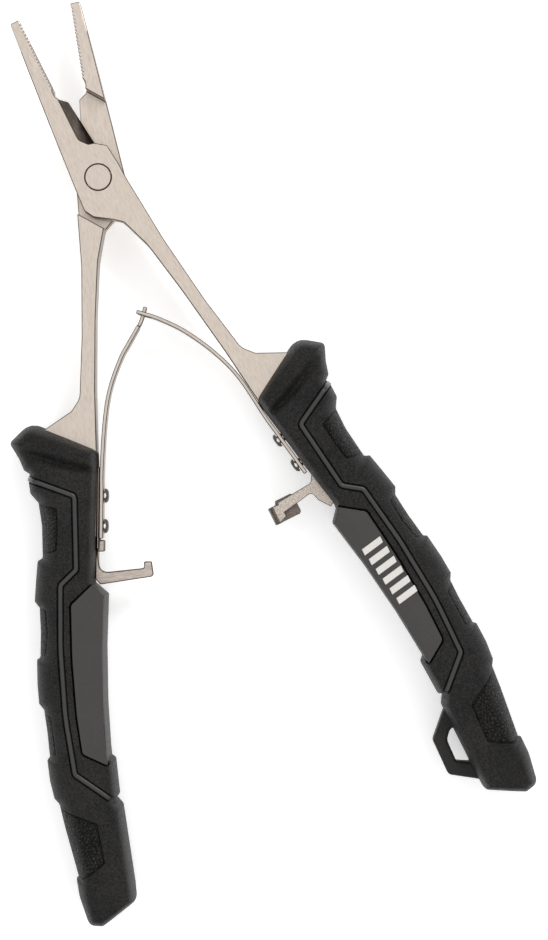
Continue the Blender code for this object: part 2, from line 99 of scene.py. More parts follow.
HOOK_PLATE = 1.5
HOOK_GAP = 0.1             # gap on each side of the hook's leg
MIDDLE_Z = -(STEEL / 2 + RIVET_PROUD)
RAIL_START = Vector((10.45, -66.3))
RAIL_END = Vector((14.40, -90.5))
RAIL = (RAIL_END - RAIL_START).normalized()
RAIL_OUT = Vector((RAIL.y, -RAIL.x))
SCREW_RUNS = (7.8, 15.0)
SCREW_R = 1.0
SCREW_HEAD_R = 1.7
SCREW_REACH = 4.0
LEAF_BASE_RUNS = (17.9, 12.0, 6.0, 1.5)
SEAT = {"right": 0.3, "left": 0.6}   # gap under each spring; the CAD's left one is 0.85
LOOP_HALF = 2.0
RIB_HALF = 0.55
RIB_GROOVE = 0.88
PAD_FALL = 0.18
PAD_DEPTH = 0.34
GRIP_GRID = (540, 84)      # rows and columns of the moulded surfaces
INLAY_GRID = (160, 36)
MARK_COUNT = 6
MARK_PITCH = 2.75
MARK_SHIFT = 0.42          # sideways step from bar to bar
MARK_LENGTH = 5.2
MARK_WIDTH = 1.6
MARK_SLANT = 0.9
PEBBLE_SCALE = 1250.0
LEAST_STEP = 0.09          # outline points closer than this are merged

# ---------------------------------------------------------------- outlines: (x, y) or (x, y, radius)
LEVER = [
    (-2.45, JAW_TIP, 0.4),
    (-3.55, 30.0, 20.0),
    (-5.1, 12.0, 20.0),
    (-6.15, -1.0, 8.0),
    (-6.45, -5.7, 1.6),
    (-5.2, -7.9, 1.2),
    (-1.2, -10.6, 0.8),
    (0.7, -12.2, 2.0),
    (3.3, -19.5, 18.0),
    (5.7, -32.5, 60.0),
    (8.4, -50.0, 60.0),
    (10.45, -66.3, 30.0),
    (13.3, -83.7, 0.3),
    (19.7, -84.6, 0.6),
    (20.5, -94.0, 10.0),
    (21.6, -110.0, 10.0),
    (22.4, -128.0, 1.2),
    (25.6, -128.0, 1.2),
    (25.0, -112.0, 10.0),
    (23.2, -92.0, 10.0),
    (21.0, -76.0, 10.0),
    (19.2, -66.5, 2.0),
    (22.4, -59.0, 1.2),
    (21.7, -56.7, 0.5),
    (14.6, -53.5, 2.0),
    (12.2, -50.8, 4.0),
    (9.6, -37.0, 40.0),
    (7.3, -20.0, 40.0),
    (5.85, -3.0, 30.0),
    (5.75, 1.0, 4.0),
    (5.2, 6.0, 0.4),
    (2.75, 7.6, 0.2),
    (1.6, 19.5, 0.4),
    (-0.15, 20.6, 0.2),
    (-0.65, 21.6, 0.4),
    (-0.65, 22.9, 0.4),
    (-0.15, 23.7, 0.2),
    (-0.15, JAW_TIP, 0.3),
]
LAP_CUT = [(-9.0, 14.3), (3.0, 23.8), (9.0, 23.8), (9.0, -5.5), (-3.0, -14.97), (-9.0, -14.97)]
CUTTER_BEVEL = [(-0.2, 22.5), (-0.2, 9.9, 1.9), (1.4, 7.95, 0.8), (4.5, 7.2), (4.5, 22.5)]
GRIP_OUTER = [
    (24.7, -54.5, 4.2),
    (30.4, -58.6, 1.3),
    (28.6, -62.8, 3.0),
    (27.9, -65.6, 1.0),
    (26.6, -66.7, 0.4),
    (27.3, -67.2, 0.15),
    (27.3, -71.2, 1.2),
    (25.8, -73.6, 1.5),
    (25.8, -79.0, 10.0),
    (26.8, -86.8, 0.3),
    (28.3, -87.2, 0.4),
    (29.2, -92.0, 10.0),
    (30.2, -96.6, 0.4),
    (29.2, -98.3, 0.4),
    (29.9, -104.0, 10.0),
    (30.9, -109.9, 0.2),
    (31.9, -110.2, 0.3),
    (32.5, -116.0, 10.0),
    (32.8, -120.6, 0.4),
    (31.8, -122.1, 0.5),
    (31.9, -127.0, 10.0),
    (32.2, -133.5, 0.2),
    (33.1, -134.0, 0.4),
    (33.0, -139.0, 10.0),
    (32.6, -143.2, 0.4),
    (31.6, -144.6, 0.5),
    (31.2, -150.0, 20.0),
    (29.7, -162.4, 0.2),
    (30.5, -162.7, 0.3),
    (30.2, -167.0, 10.0),
    (28.9, -174.0, 2.8),
    (25.4, -174.5, 1.6),
    (17.0, -169.7, 1.4),
    (16.8, -166.0, 3.0),
    (16.8, -147.2, 0.5),
    (18.3, -145.0, 0.2),
    (17.0, -144.4, 0.4),
    (16.9, -136.2, 0.7),
    (17.9, -135.2, 0.3),
    (18.6, -134.0, 0.4),
    (18.8, -128.0, 5.0),
    (17.0, -112.0, 30.0),
    (14.8, -100.0, 5.0),
    (15.3, -93.5, 0.6),
    (13.9, -87.0, 10.0),
    (12.3, -77.5, 20.0),
    (10.2, -66.0, 8.0),
    (9.9, -63.4, 1.8),
]
INLAY = [
    (15.5, -94.1, 0.3),
    (12.7, -97.8, 0.8),
    (15.1, -109.0, 40.0),
    (17.0, -123.0, 60.0),
    (18.2, -136.9, 0.4),
    (23.9, -133.2, 1.6),
    (23.9, -124.0, 40.0),
    (23.0, -111.0, 60.0),
    (21.4, -98.3, 1.6),
]
RIB_LINE = [
    (27.6, -67.2),
    (16.5, -73.3, 1.2),
    (18.7, -90.4, 1.2),
    (22.9, -93.4, 1.6),
    (25.1, -108.0, 60.0),
    (26.4, -124.0, 60.0),
    (26.2, -137.6, 1.4),
    (18.3, -145.0),
]
VALLEY = [(12.0, -67.7), (16.5, -66.3), (21.0, -64.3), (26.5, -61.6)]
PADS = [
    [
        (20.9, -75.6, 0.5),
        (21.3, -80.0, 6.0),
        (22.4, -85.4, 1.0),
        (30.0, -86.8),
        (30.0, -71.5),
        (25.6, -73.4, 0.5),
    ],
    [
        (27.0, -98.6, 0.6),
        (27.4, -104.0, 4.0),
        (28.6, -109.3, 0.6),
        (35.0, -109.8),
        (35.0, -96.6),
        (30.0, -97.3, 0.4),
    ],
    [(29.6, -123.6, 0.6), (29.8, -132.6, 0.6), (35.0, -133.4), (35.0, -121.0), (32.2, -121.6, 0.4)],
    [
        (22.7, -149.7, 0.6),
        (22.3, -159.2, 0.5),
        (27.6, -162.4, 0.5),
        (35.0, -162.6),
        (35.0, -142.6),
        (28.0, -146.7, 0.4),
    ],
]
RECESS_BAR = [(-0.8, -0.16), (0.8, -0.16), (0.8, 0.16), (-0.8, 0.16)]
RIGHT_LEAF = [(8.6, -57.0), (6.0, -49.0), (2.0, -41.4), (-2.0, -36.2), (-4.7, -33.5), (-6.1, -32.2)]
LEFT_LEAF = [
    (7.3, -57.1),
    (4.9, -49.6),
    (1.4, -43.0),
    (-0.9, -39.9),
    (-4.0, -35.9),
    (-5.4, -33.5),
    (-6.2, -31.6),
]
LATCH_OUTLINE = [
    (19.3, -87.4, 1.2),
    (18.0, -86.0, 1.2),
    (13.6, -84.8, 0.1),
    (12.6, -86.7, 1.2),
    (3.4, -87.35),
    (3.4, -90.2),
    (11.8, -88.8, 1.2),
    (12.4, -91.2, 0.4),
    (14.4, -93.9, 0.1),
    (18.4, -91.4, 1.2),
    (19.6, -89.6, 1.2),
]
LOOP_OUTLINE = [
    (19.8, -148.6, 0.6),
    (16.9, -148.4, 0.6),
    (11.2, -153.9, 1.6),
    (10.9, -162.8, 1.4),
    (16.9, -167.0, 0.6),
    (19.8, -166.4, 0.6),
]
LOOP_HOLE = [
    (16.9, -153.3, 0.5),
    (15.7, -153.5, 0.5),
    (14.1, -155.5, 0.6),
    (14.0, -160.8, 0.6),
    (16.9, -162.5, 0.3),
]


# ---------------------------------------------------------------- outline tools
def corner(before, at, after, radius, steps):
    """Points of the curve that rounds one corner of an outline."""
    to_before = (before - at).normalized()
    to_after = (after - at).normalized()
    turn = math.pi - to_before.angle(to_after)
    if turn < 0.01:
        return [at]
    reach = min(radius * math.tan(turn / 2), 0.45 * (before - at).length, 0.45 * (after - at).length)
    start = at + to_before * reach
    end = at + to_after * reach
    ts = [k / steps for k in range(steps + 1)]
    return [start * (1 - t) ** 2 + at * 2 * t * (1 - t) + end * t**2 for t in ts]


def rounded(outline, steps=5, closed=True):
    corners = [Vector(p[:2]) for p in outline]
    points = []
    for i, at in enumerate(corners):
        radius = outline[i][2] if len(outline[i]) > 2 else 0.0
        if radius == 0.0 or (not closed and i in (0, len(corners) - 1)):
            points.append(at)
        else:
            points += corner(corners[i - 1], at, corners[(i + 1) % len(corners)], radius, steps)
    return [p for i, p in enumerate(points) if not closed or (p - points[i - 1]).length > LEAST_STEP]


def band(line, half_width):
    """Closed outline of a strip along an open line."""
    left, right = [], []
    for i, at in enumerate(line):
        along = (line[min(i + 1, len(line) - 1)] - line[max(i - 1, 0)]).normalized()
        side = Vector((-along.y, along.x)) * half_width
        left.append(at + side)
        right.append(at - side)
    return left + right[::-1]


def smooth(points, per_span):
    """Catmull-Rom curve through a few points."""
    controls = [points[0] * 2 - points[1]] + points + [points[-1] * 2 - points[-2]]
    curve = []
    for i in range(1, len(controls) - 2):
        a, b, c, d = controls[i - 1 : i + 3]
        for k in range(per_span):
            t = k / per_span
            square = (a * 2 - b * 5 + c * 4 - d) * t**2
            cube = (b * 3 - a - c * 3 + d) * t**3
            curve.append((b * 2 + (c - a) * t + square + cube) / 2)
    return curve + [points[-1]]


def turned(point, degrees):
    angle = math.radians(degrees)
    cos, sin = math.cos(angle), math.sin(angle)
    return Vector((point.x * cos - point.y * sin, point.x * sin + point.y * cos))


def rail_point(run, out):
    """A point beside the handle's inner face: run along it, out away from it."""
    return RAIL_START + RAIL * run + RAIL_OUT * out


def nearest(x, y, points, closed):
    """Signed distance of each (x, y) from a polyline, positive inside a closed one, and the nearest point."""
    best = np.full(x.shape, 1e9)
    near_x, near_y = np.zeros(x.shape), np.zeros(x.shape)
    inside = np.full(x.shape, not closed)
    pairs = list(zip(points, points[1:] + points[:1])) if closed else list(zip(points, points[1:]))
    for a, b in pairs:
        dx, dy = b.x - a.x, b.y - a.y
        t = np.clip(((x - a.x) * dx + (y - a.y) * dy) / max(dx * dx + dy * dy, 1e-12), 0, 1)
        at_x, at_y = a.x + t * dx, a.y + t * dy
        away = np.hypot(x - at_x, y - at_y)
        closer = away < best
        best = np.where(closer, away, best)
        near_x = np.where(closer, at_x, near_x)
        near_y = np.where(closer, at_y, near_y)
        if closed and a.y != b.y:
            inside ^= ((a.y > y) != (b.y > y)) & (x < dx * (y - a.y) / dy + a.x)
    return np.where(inside, best, -best), near_x, near_y


def distance(x, y, points, closed):
    return nearest(x, y, points, closed)[0]


def snap(x, y, points, closed, levels, reach):
    """Moves the grid points that lie close to an offset of a line onto it, so that its edge is clean."""
    d, near_x, near_y = nearest(x, y, points, closed)
    for level in levels:
        is_close = (np.abs(d - level) < reach) & (np.abs(d) > 1e-6)
        share = np.where(is_close, level / np.where(d == 0, 1, d), 1.0)
        x = near_x + (x - near_x) * share
        y = near_y + (y - near_y) * share
    return x, y


def step(value, low, high):
    t = np.clip((value - low) / (high - low), 0, 1)
    return t * t * (3 - 2 * t)


# ---------------------------------------------------------------- meshes
def side_matrix(side, splay=0.0):
    """From a lever's frame in millimetres to the row frame in metres."""
    half = math.radians(OPENING / 2)
    if side == "right":
        turn = Matrix.Rotation(half, 4, "Z")
    else:
        turn = Matrix.Rotation(-half, 4, "Z") @ Matrix.Rotation(math.pi, 4, "Y")
    turn = turn @ Matrix.Rotation(math.radians(splay), 4, "Z")
    return Matrix.Scale(MM, 4) @ Matrix.Translation((0, 0, MIDDLE_Z)) @ turn


PLACE = {
    "right": side_matrix("right"),
    "left": side_matrix("left"),
    "right_handle": side_matrix("right"),
    "left_handle": side_matrix("left", LEFT_SPLAY),
}


def new_object(name, mesh, place, materials):
    made = bpy.data.objects.new(name, mesh)
    bpy.context.scene.collection.objects.link(made)
    if place is not None:
        mesh.transform(PLACE[place])
    for one in materials:
        mesh.materials.append(one)
    return made


def from_bmesh(name, shape, place, materials):
    bmesh.ops.recalc_face_normals(shape, faces=shape.faces)
    mesh = bpy.data.meshes.new(name)
    shape.to_mesh(mesh)
    shape.free()
    return new_object(name, mesh, place, materials)


def skin(shape, rows):
    """Faces between neighbouring rings of vertices, with both ends closed."""
    for low, high in zip(rows, rows[1:]):
        for i in range(len(low)):
            j = (i + 1) % len(low)
            shape.faces.new((low[i], low[j], high[j], high[i]))
    shape.faces.new(rows[0][::-1])
    shape.faces.new(rows[-1])


def add_prism(shape, outline, low, high):
    skin(shape, [[shape.verts.new((x, y, z)) for x, y in outline] for z in (low, high)])


def prism(outline, low, high):
    shape = bmesh.new()
    add_prism(shape, outline, low, high)
    return shape


def combine(target, shape, place, how="DIFFERENCE", material=None):
    """Boolean of an object with a shape drawn in a lever's frame, applied at once."""
    tool = from_bmesh(target.name + "_tool", shape, place, [material] if material else [])
    cut = target.modifiers.new("cut", "BOOLEAN")
    cut.operation = how
    cut.solver = "EXACT"
    cut.object = tool
    if material:
        cut.material_mode = "TRANSFER"
    apply_modifiers(target)
    bpy.data.objects.remove(tool)


def apply_modifiers(made):
    bpy.context.view_layer.update()
    evaluated = made.evaluated_get(bpy.context.evaluated_depsgraph_get())
    mesh = bpy.data.meshes.new_from_object(evaluated)
    old = made.data
    made.modifiers.clear()
    made.data = mesh
    bpy.data.meshes.remove(old)


def paint_shade_on_flanks(made):
    """Paints shade on the faces that stand on edge with a darker steel, and a painted shadow outline on the
    rounded edges beside them with a darker one still.
    """
    made.data.materials.append(FLANK_PAINTED_SHADE)
    made.data.materials.append(EDGE_PAINTED_SHADOW)
    flank = len(made.data.materials) - 2
    for face in made.data.polygons:
        slope = abs(face.normal.z)
        if face.material_index == 0 and slope < 0.95:
            face.material_index = flank if slope < 0.15 else flank + 1


def soften(made, width, segments=2, angle=32, sharp=89):
    """Rounds an object's edges and shades it smooth."""
    edge = made.modifiers.new("edges", "BEVEL")
    edge.width = width * MM
    edge.segments = segments
    edge.limit_method = "ANGLE"
    edge.angle_limit = math.radians(angle)
    edge.use_clamp_overlap = False
    made.data.shade_smooth()
    made.data.set_sharp_from_angle(angle=math.radians(sharp))
    even = made.modifiers.new("normals", "WEIGHTED_NORMAL")
    even.keep_sharp = True
    even.weight = 100
    apply_modifiers(made)


def keep(made, body, slot, *replaced):
    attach(made, body)
    if replaced:
        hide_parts(*replaced)
    return made


# ---------------------------------------------------------------- materials
def principled(name, colour, roughness, metallic=0.0):
    made = bpy.data.materials.new(name)
    made.use_nodes = True
    tree = made.node_tree
    shader = tree.nodes["Principled BSDF"]
    shader.inputs["Base Color"].default_value = (*colour, 1)
    shader.inputs["Roughness"].default_value = roughness
    shader.inputs["Metallic"].default_value = metallic
    return made, tree, shader


def add(tree, kind, **inputs):
    node = tree.nodes.new(kind)
    for key, value in inputs.items():
        if key in node.inputs:
            node.inputs[key].default_value = value
        else:
            setattr(node, key, value)
    return node


def stretched_coords(tree, turn, scale):
    coords = add(tree, "ShaderNodeTexCoord")
    spun = add(tree, "ShaderNodeMapping")
    spun.inputs["Rotation"].default_value = (0, 0, -turn)
    squeezed = add(tree, "ShaderNodeMapping")
    squeezed.inputs["Scale"].default_value = scale
    tree.links.new(coords.outputs["Object"], spun.inputs["Vector"])
    tree.links.new(spun.outputs["Vector"], squeezed.inputs["Vector"])
    return squeezed.outputs["Vector"]


def mix_colour(tree, factor, low, high):
    mix = add(tree, "ShaderNodeMix", data_type="RGBA")
    tree.links.new(factor, mix.inputs["Factor"])
    mix.inputs[6].default_value = (*low, 1)
    mix.inputs[7].default_value = (*high, 1)
    return mix.outputs[2]


def ramp(tree, value, low, high, out_low=0.0, out_high=1.0):
    node = add(tree, "ShaderNodeMapRange")
    for key, number in (("From Min", low), ("From Max", high), ("To Min", out_low), ("To Max", out_high)):
        node.inputs[key].default_value = number
    tree.links.new(value, node.inputs["Value"])
    return node.outputs["Result"]


def brushed_steel(name, turn, dark, light, rough=(0.3, 0.42), grain=1.0):
    """Ground stainless steel: fine lines along the part, a few longer scratches and soft mottling."""
    made, tree, shader = principled(name, light, 0.36, 1.0)
    fine = add(tree, "ShaderNodeTexNoise", Scale=1.0, Detail=3.0, Roughness=0.6)
    tree.links.new(stretched_coords(tree, turn, (6000, 520, 900)), fine.inputs["Vector"])
    cloud = add(tree, "ShaderNodeTexNoise", Scale=1.0, Detail=2.0, Roughness=0.5)
    tree.links.new(stretched_coords(tree, turn, (900, 120, 400)), cloud.inputs["Vector"])
    both = add(tree, "ShaderNodeMath", operation="MULTIPLY_ADD")
    tree.links.new(fine.outputs["Fac"], both.inputs[0])
    both.inputs[1].default_value = 0.85
    tree.links.new(ramp(tree, cloud.outputs["Fac"], 0.0, 1.0, 0.0, 0.15), both.inputs[2])
    colour = mix_colour(tree, ramp(tree, both.outputs[0], 0.32, 0.66), dark, light)
    tree.links.new(colour, shader.inputs["Base Color"])
    tree.links.new(ramp(tree, fine.outputs["Fac"], 0.3, 0.7, *rough), shader.inputs["Roughness"])
    bump = add(tree, "ShaderNodeBump", Strength=0.3 * grain, Distance=0.00005)
    tree.links.new(fine.outputs["Fac"], bump.inputs["Height"])
    tree.links.new(bump.outputs["Normal"], shader.inputs["Normal"])
    return made


def cast_steel(name, dark, light):
    """Tumbled cast or stamped steel with a fine orange-peel surface."""
    made, tree, shader = principled(name, light, 0.38, 1.0)
    coords = add(tree, "ShaderNodeTexCoord")
    peel = add(tree, "ShaderNodeTexNoise", Scale=2600.0, Detail=3.0, Roughness=0.65)
    tree.links.new(coords.outputs["Object"], peel.inputs["Vector"])
    colour = mix_colour(tree, ramp(tree, peel.outputs["Fac"], 0.35, 0.65), dark, light)
    tree.links.new(colour, shader.inputs["Base Color"])
    tree.links.new(ramp(tree, peel.outputs["Fac"], 0.3, 0.7, 0.28, 0.5), shader.inputs["Roughness"])
    bump = add(tree, "ShaderNodeBump", Strength=0.35, Distance=0.0001)
    tree.links.new(peel.outputs["Fac"], bump.inputs["Height"])
    tree.links.new(bump.outputs["Normal"], shader.inputs["Normal"])
    return made


def moulded(
    name, dark, light, rough, grain_scale, grain_depth, pebble=False, gloss=0.5, contrast=(0.38, 0.62)
):
    """Moulded rubber or plastic: fine grain all over and, where the mesh's pad mask is 1, a pebbled bump with
    painted shade in its cracks and painted highlight on its tops.
    """
    made, tree, shader = principled(name, light, rough[0])
    shader.inputs["Specular IOR Level"].default_value = gloss
    coords = add(tree, "ShaderNodeTexCoord")
    grain = add(tree, "ShaderNodeTexNoise", Scale=grain_scale, Detail=3.0, Roughness=0.5)
    tree.links.new(coords.outputs["Object"], grain.inputs["Vector"])
    cloud = add(tree, "ShaderNodeTexNoise", Scale=120.0, Detail=2.0, Roughness=0.5)
    tree.links.new(coords.outputs["Object"], cloud.inputs["Vector"])
    blend = add(tree, "ShaderNodeMath", operation="MULTIPLY_ADD")
    tree.links.new(grain.outputs["Fac"], blend.inputs[0])
    blend.inputs[1].default_value = 0.75
    tree.links.new(ramp(tree, cloud.outputs["Fac"], 0.0, 1.0, 0.0, 0.25), blend.inputs[2])
    tone = blend.outputs[0]
    tree.links.new(ramp(tree, grain.outputs["Fac"], 0.3, 0.7, *rough), shader.inputs["Roughness"])
    bump = add(tree, "ShaderNodeBump", Strength=1.0, Distance=grain_depth)
    tree.links.new(grain.outputs["Fac"], bump.inputs["Height"])
    last = bump
    if pebble:
        cells = add(tree, "ShaderNodeTexVoronoi", Scale=PEBBLE_SCALE, feature="DISTANCE_TO_EDGE")
        tree.links.new(coords.outputs["Object"], cells.inputs["Vector"])
        mask = add(tree, "ShaderNodeAttribute", attribute_name="pad")
        height = add(tree, "ShaderNodeMath", operation="MULTIPLY")
        tree.links.new(ramp(tree, cells.outputs["Distance"], 0.0, 0.3), height.inputs[0])
        tree.links.new(mask.outputs["Fac"], height.inputs[1])
        pads = add(tree, "ShaderNodeBump", Strength=1.0, Distance=0.0006)
        tree.links.new(height.outputs[0], pads.inputs["Height"])
        tree.links.new(bump.outputs["Normal"], pads.inputs["Normal"])
        last = pads
        # painted shade in the cracks between pebbles and painted highlight on their tops
        pebble_shaded_tone = add(tree, "ShaderNodeMath", operation="MULTIPLY_ADD")
        pebble_painted_shade = ramp(tree, cells.outputs["Distance"], 0.0, 0.12, -0.14, 0.12)
        tree.links.new(pebble_painted_shade, pebble_shaded_tone.inputs[0])
        tree.links.new(mask.outputs["Fac"], pebble_shaded_tone.inputs[1])
        tree.links.new(tone, pebble_shaded_tone.inputs[2])
        tone = pebble_shaded_tone.outputs[0]
    colour = mix_colour(tree, ramp(tree, tone, *contrast), dark, light)
    tree.links.new(colour, shader.inputs["Base Color"])
    tree.links.new(last.outputs["Normal"], shader.inputs["Normal"])
    return made


HALF_TURN = math.radians(OPENING / 2)
STEEL_DARK = (0.515, 0.444, 0.384)
STEEL_LIGHT = (0.665, 0.59, 0.518)
STEEL_MATERIAL = {
    "right": brushed_steel("ground_steel_right", HALF_TURN, STEEL_DARK, STEEL_LIGHT),
    "left": brushed_steel("ground_steel_left", -HALF_TURN, STEEL_DARK, STEEL_LIGHT),
}
# painted shade: dark steel for the cutter's ground face, which lies in shade
CUTTER_PAINTED_SHADE = brushed_steel(
    "cutter_steel", HALF_TURN, (0.12, 0.096, 0.082), (0.22, 0.185, 0.162), (0.4, 0.5)
)
SPRING_MATERIAL = brushed_steel(
    "spring_strip", 0.0, (0.52, 0.46, 0.40), (0.62, 0.56, 0.50), (0.25, 0.38), 0.6
)
HOOK_MATERIAL = brushed_steel(
    "rolled_hook", math.pi / 2 - HALF_TURN, (0.36, 0.30, 0.26), (0.60, 0.53, 0.47)
)
CAST_MATERIAL = cast_steel("tumbled_steel", (0.34, 0.29, 0.25), (0.68, 0.61, 0.54))
# painted shade: darker steel for the faces that stand on edge
FLANK_PAINTED_SHADE = cast_steel("forged_flank", (0.25, 0.212, 0.184), (0.43, 0.375, 0.33))
# painted shadow: near-black steel for the rounded edges beside the flanks
EDGE_PAINTED_SHADOW = cast_steel("darkened_edge", (0.06, 0.045, 0.039), (0.14, 0.11, 0.096))
# painted shade: dark steel for the latch's bend and the tab under its arm
BEND_PAINTED_SHADE = cast_steel("bent_steel", (0.10, 0.08, 0.07), (0.26, 0.22, 0.195))
# painted shade: dark steel for the screw heads' sides
SCREW_HEAD_PAINTED_SHADE = cast_steel("blackened_screw", (0.05, 0.044, 0.04), (0.16, 0.145, 0.133))
# painted highlight: near-white steel for the screw heads' up-facing faces
SCREW_PAINTED_HIGHLIGHT = cast_steel("worn_screw", (0.7, 0.68, 0.65), (0.9, 0.88, 0.85))
RUBBER_DARK = (0.002, 0.0018, 0.0017)
RUBBER_LIGHT = (0.034, 0.0313, 0.0295)
RUBBER = moulded(
    "soft_rubber", RUBBER_DARK, RUBBER_LIGHT, (0.36, 0.66), 2700.0, 0.0005, True, 0.25, (0.40, 0.72)
)
# black nylon of the loop and cores; also painted shade on the inlays' side faces
NYLON_AND_SHADE_DARK = (0.008, 0.0075, 0.007)
NYLON_AND_SHADE_LIGHT = (0.018, 0.0165, 0.0155)
NYLON_AND_INLAY_SHADE = moulded("black_nylon", NYLON_AND_SHADE_DARK, NYLON_AND_SHADE_LIGHT, (0.42, 0.55), 2600.0, 0.0002, False, 0.25)
INLAY_DARK = (0.040, 0.0375, 0.0365)
INLAY_LIGHT = (0.050, 0.0472, 0.046)
INLAY_PLASTIC = moulded("satin_inlay", INLAY_DARK, INLAY_LIGHT, (0.3, 0.4), 3600.0, 0.00002, False, 0.3)
RIB_DARK = (0.021, 0.0198, 0.0192)
RIB_LIGHT = (0.028, 0.0265, 0.0258)
RIB_PLASTIC = moulded("grey_rib", RIB_DARK, RIB_LIGHT, (0.28, 0.36), 3600.0, 0.00001)
MARK_PAINT = moulded("white_marks", (0.62, 0.60, 0.57), (0.70, 0.68, 0.65), (0.35, 0.45), 3600.0, 0.00001)


# ---------------------------------------------------------------- levers and rivet
def thin_jaw(made, side):
    """Thins the jaw towards its tip, as the CAD does."""
    to_local = PLACE[side].inverted()
    for vert in made.data.vertices:
        local = to_local @ vert.co
        share = max((local.y - JAW_ROOT) / (JAW_TIP - JAW_ROOT), 0.0)
        if share > 0:
            local.z *= 1 - share * (1 - JAW_TIP_STEEL / STEEL)
            vert.co = PLACE[side] @ local


def make_lever(side):
    splay = LEFT_SPLAY if side == "left" else 0.0
    points = []
    for p in rounded(LEVER):
        share = min(max((SPLAY_START - p.y) / SPLAY_LENGTH, 0.0), 1.0)
        points.append(turned(p, splay * share * share * (3 - 2 * share)))
    shape = prism(points, -STEEL / 2, STEEL / 2)
    for k in range(JAW_CUTS):
        bmesh.ops.bisect_plane(
            shape,
            geom=shape.verts[:] + shape.edges[:] + shape.faces[:],
            plane_co=(0, JAW_ROOT + k * JAW_CUT_PITCH, 0),
            plane_no=(0, 1, 0),
        )
    made = from_bmesh(f"{side}_lever_steel", shape, side, [STEEL_MATERIAL[side]])
    combine(made, prism(LAP_CUT, -STEEL, LAP_GAP / 2), side)
    bevel = prism(rounded(CUTTER_BEVEL), 0.0, STEEL)
    for vert in bevel.verts:
        if vert.co.z < STEEL / 2:
            vert.co.z = BEVEL_LAND + (BEVEL_OUTER - vert.co.x) * BEVEL_FALL / BEVEL_WIDTH
    # the cutter's ground face takes the painted-shade steel
    combine(made, bevel, side, "DIFFERENCE", CUTTER_PAINTED_SHADE)
    angles = np.linspace(0, 2 * math.pi, 65)[:-1]
    circle = [Vector((math.cos(a), math.sin(a))) * (RIVET_R + 0.1) for a in angles]
    combine(made, prism(circle, -STEEL, STEEL), side)
    soften(made, 0.2)
    teeth = bmesh.new()
    for k in range(TOOTH_COUNT):
        y = TOOTH_FIRST + k * TOOTH_PITCH
        notch = [(0.6, y - 0.4), (0.6, y + 0.4), (-0.1, y + 0.4)]
        notch += [(-0.75, y + 0.1), (-0.75, y - 0.1), (-0.1, y - 0.4)]
        add_prism(teeth, notch, -STEEL, STEEL)
    combine(made, teeth, side)
    thin_jaw(made, side)
    paint_shade_on_flanks(made)
    return keep(made, f"{side}_side", "satin_steel", f"{side}_lever")


def lathe(profile, sides=64):
    """Turned shape about Z from (radius, z) points, closed at both ends."""
    shape = bmesh.new()
    rows = []
    for radius, z in profile:
        angles = [2 * math.pi * k / sides for k in range(sides)]
        rows.append([shape.verts.new((radius * math.cos(a), radius * math.sin(a), z)) for a in angles])
    skin(shape, rows)
    return shape


def make_rivet():
    top = STEEL / 2 + RIVET_PROUD
    half = [(RIVET_R, 0.0), (RIVET_R, top - 0.12), (RIVET_R - 0.12, top)]
    profile = [(r, -z) for r, z in half[::-1]] + half[1:]
    made = from_bmesh("pivot_rivet_turned", lathe(profile), "right", [STEEL_MATERIAL["right"]])
    made.data.shade_smooth()
    made.data.set_sharp_from_angle(angle=math.radians(30))
    return keep(made, "right_side", "satin_steel", "pivot_rivet")


# ---------------------------------------------------------------- springs, screws, hook and latch
def leaf_line(side):
    gap = SEAT[side] + LEAF / 2
    base = [rail_point(run, gap) for run in LEAF_BASE_RUNS]
    free = [Vector(p) for p in (RIGHT_LEAF if side == "right" else LEFT_LEAF)]
    return smooth(base + free, 10), free


def make_leaf(side):
    place = f"{side}_handle"
    line, free = leaf_line(side)
    strip = prism(band(line, LEAF / 2), -LEAF_WIDTH / 2, LEAF_WIDTH / 2)
    made = from_bmesh(f"{side}_leaf_strip", strip, place, [SPRING_MATERIAL])
    if side == "right":
        crossing = free[-2]
        along = (free[-1] - crossing).normalized()
        slot = band([crossing - along * SLOT_BACK, crossing + along * SLOT_FRONT], LEAF * 2)
        combine(made, prism(slot, -TONGUE_WIDTH / 2 - CLEAR, TONGUE_WIDTH / 2 + CLEAR), place)
    else:
        beyond = free[-1] + (free[-1] - free[-2]) * 2
        for way in (1.0, -1.0):
            low, high = sorted((way * TONGUE_WIDTH / 2, way * LEAF_WIDTH))
            combine(made, prism(band([free[-3], beyond], LEAF * 2.5), low, high), place)
        along = (free[-3] - free[-4]).normalized() * 0.15
        notch = band([free[-3] - along, free[-3] + along], LEAF * 2)
        combine(made, prism(notch, TONGUE_WIDTH / 2 - CLEAR, LEAF_WIDTH), place)
    soften(made, 0.18)
    paint_shade_on_flanks(made)
    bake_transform(made)
    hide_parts(f"{side}_spring")
    return made


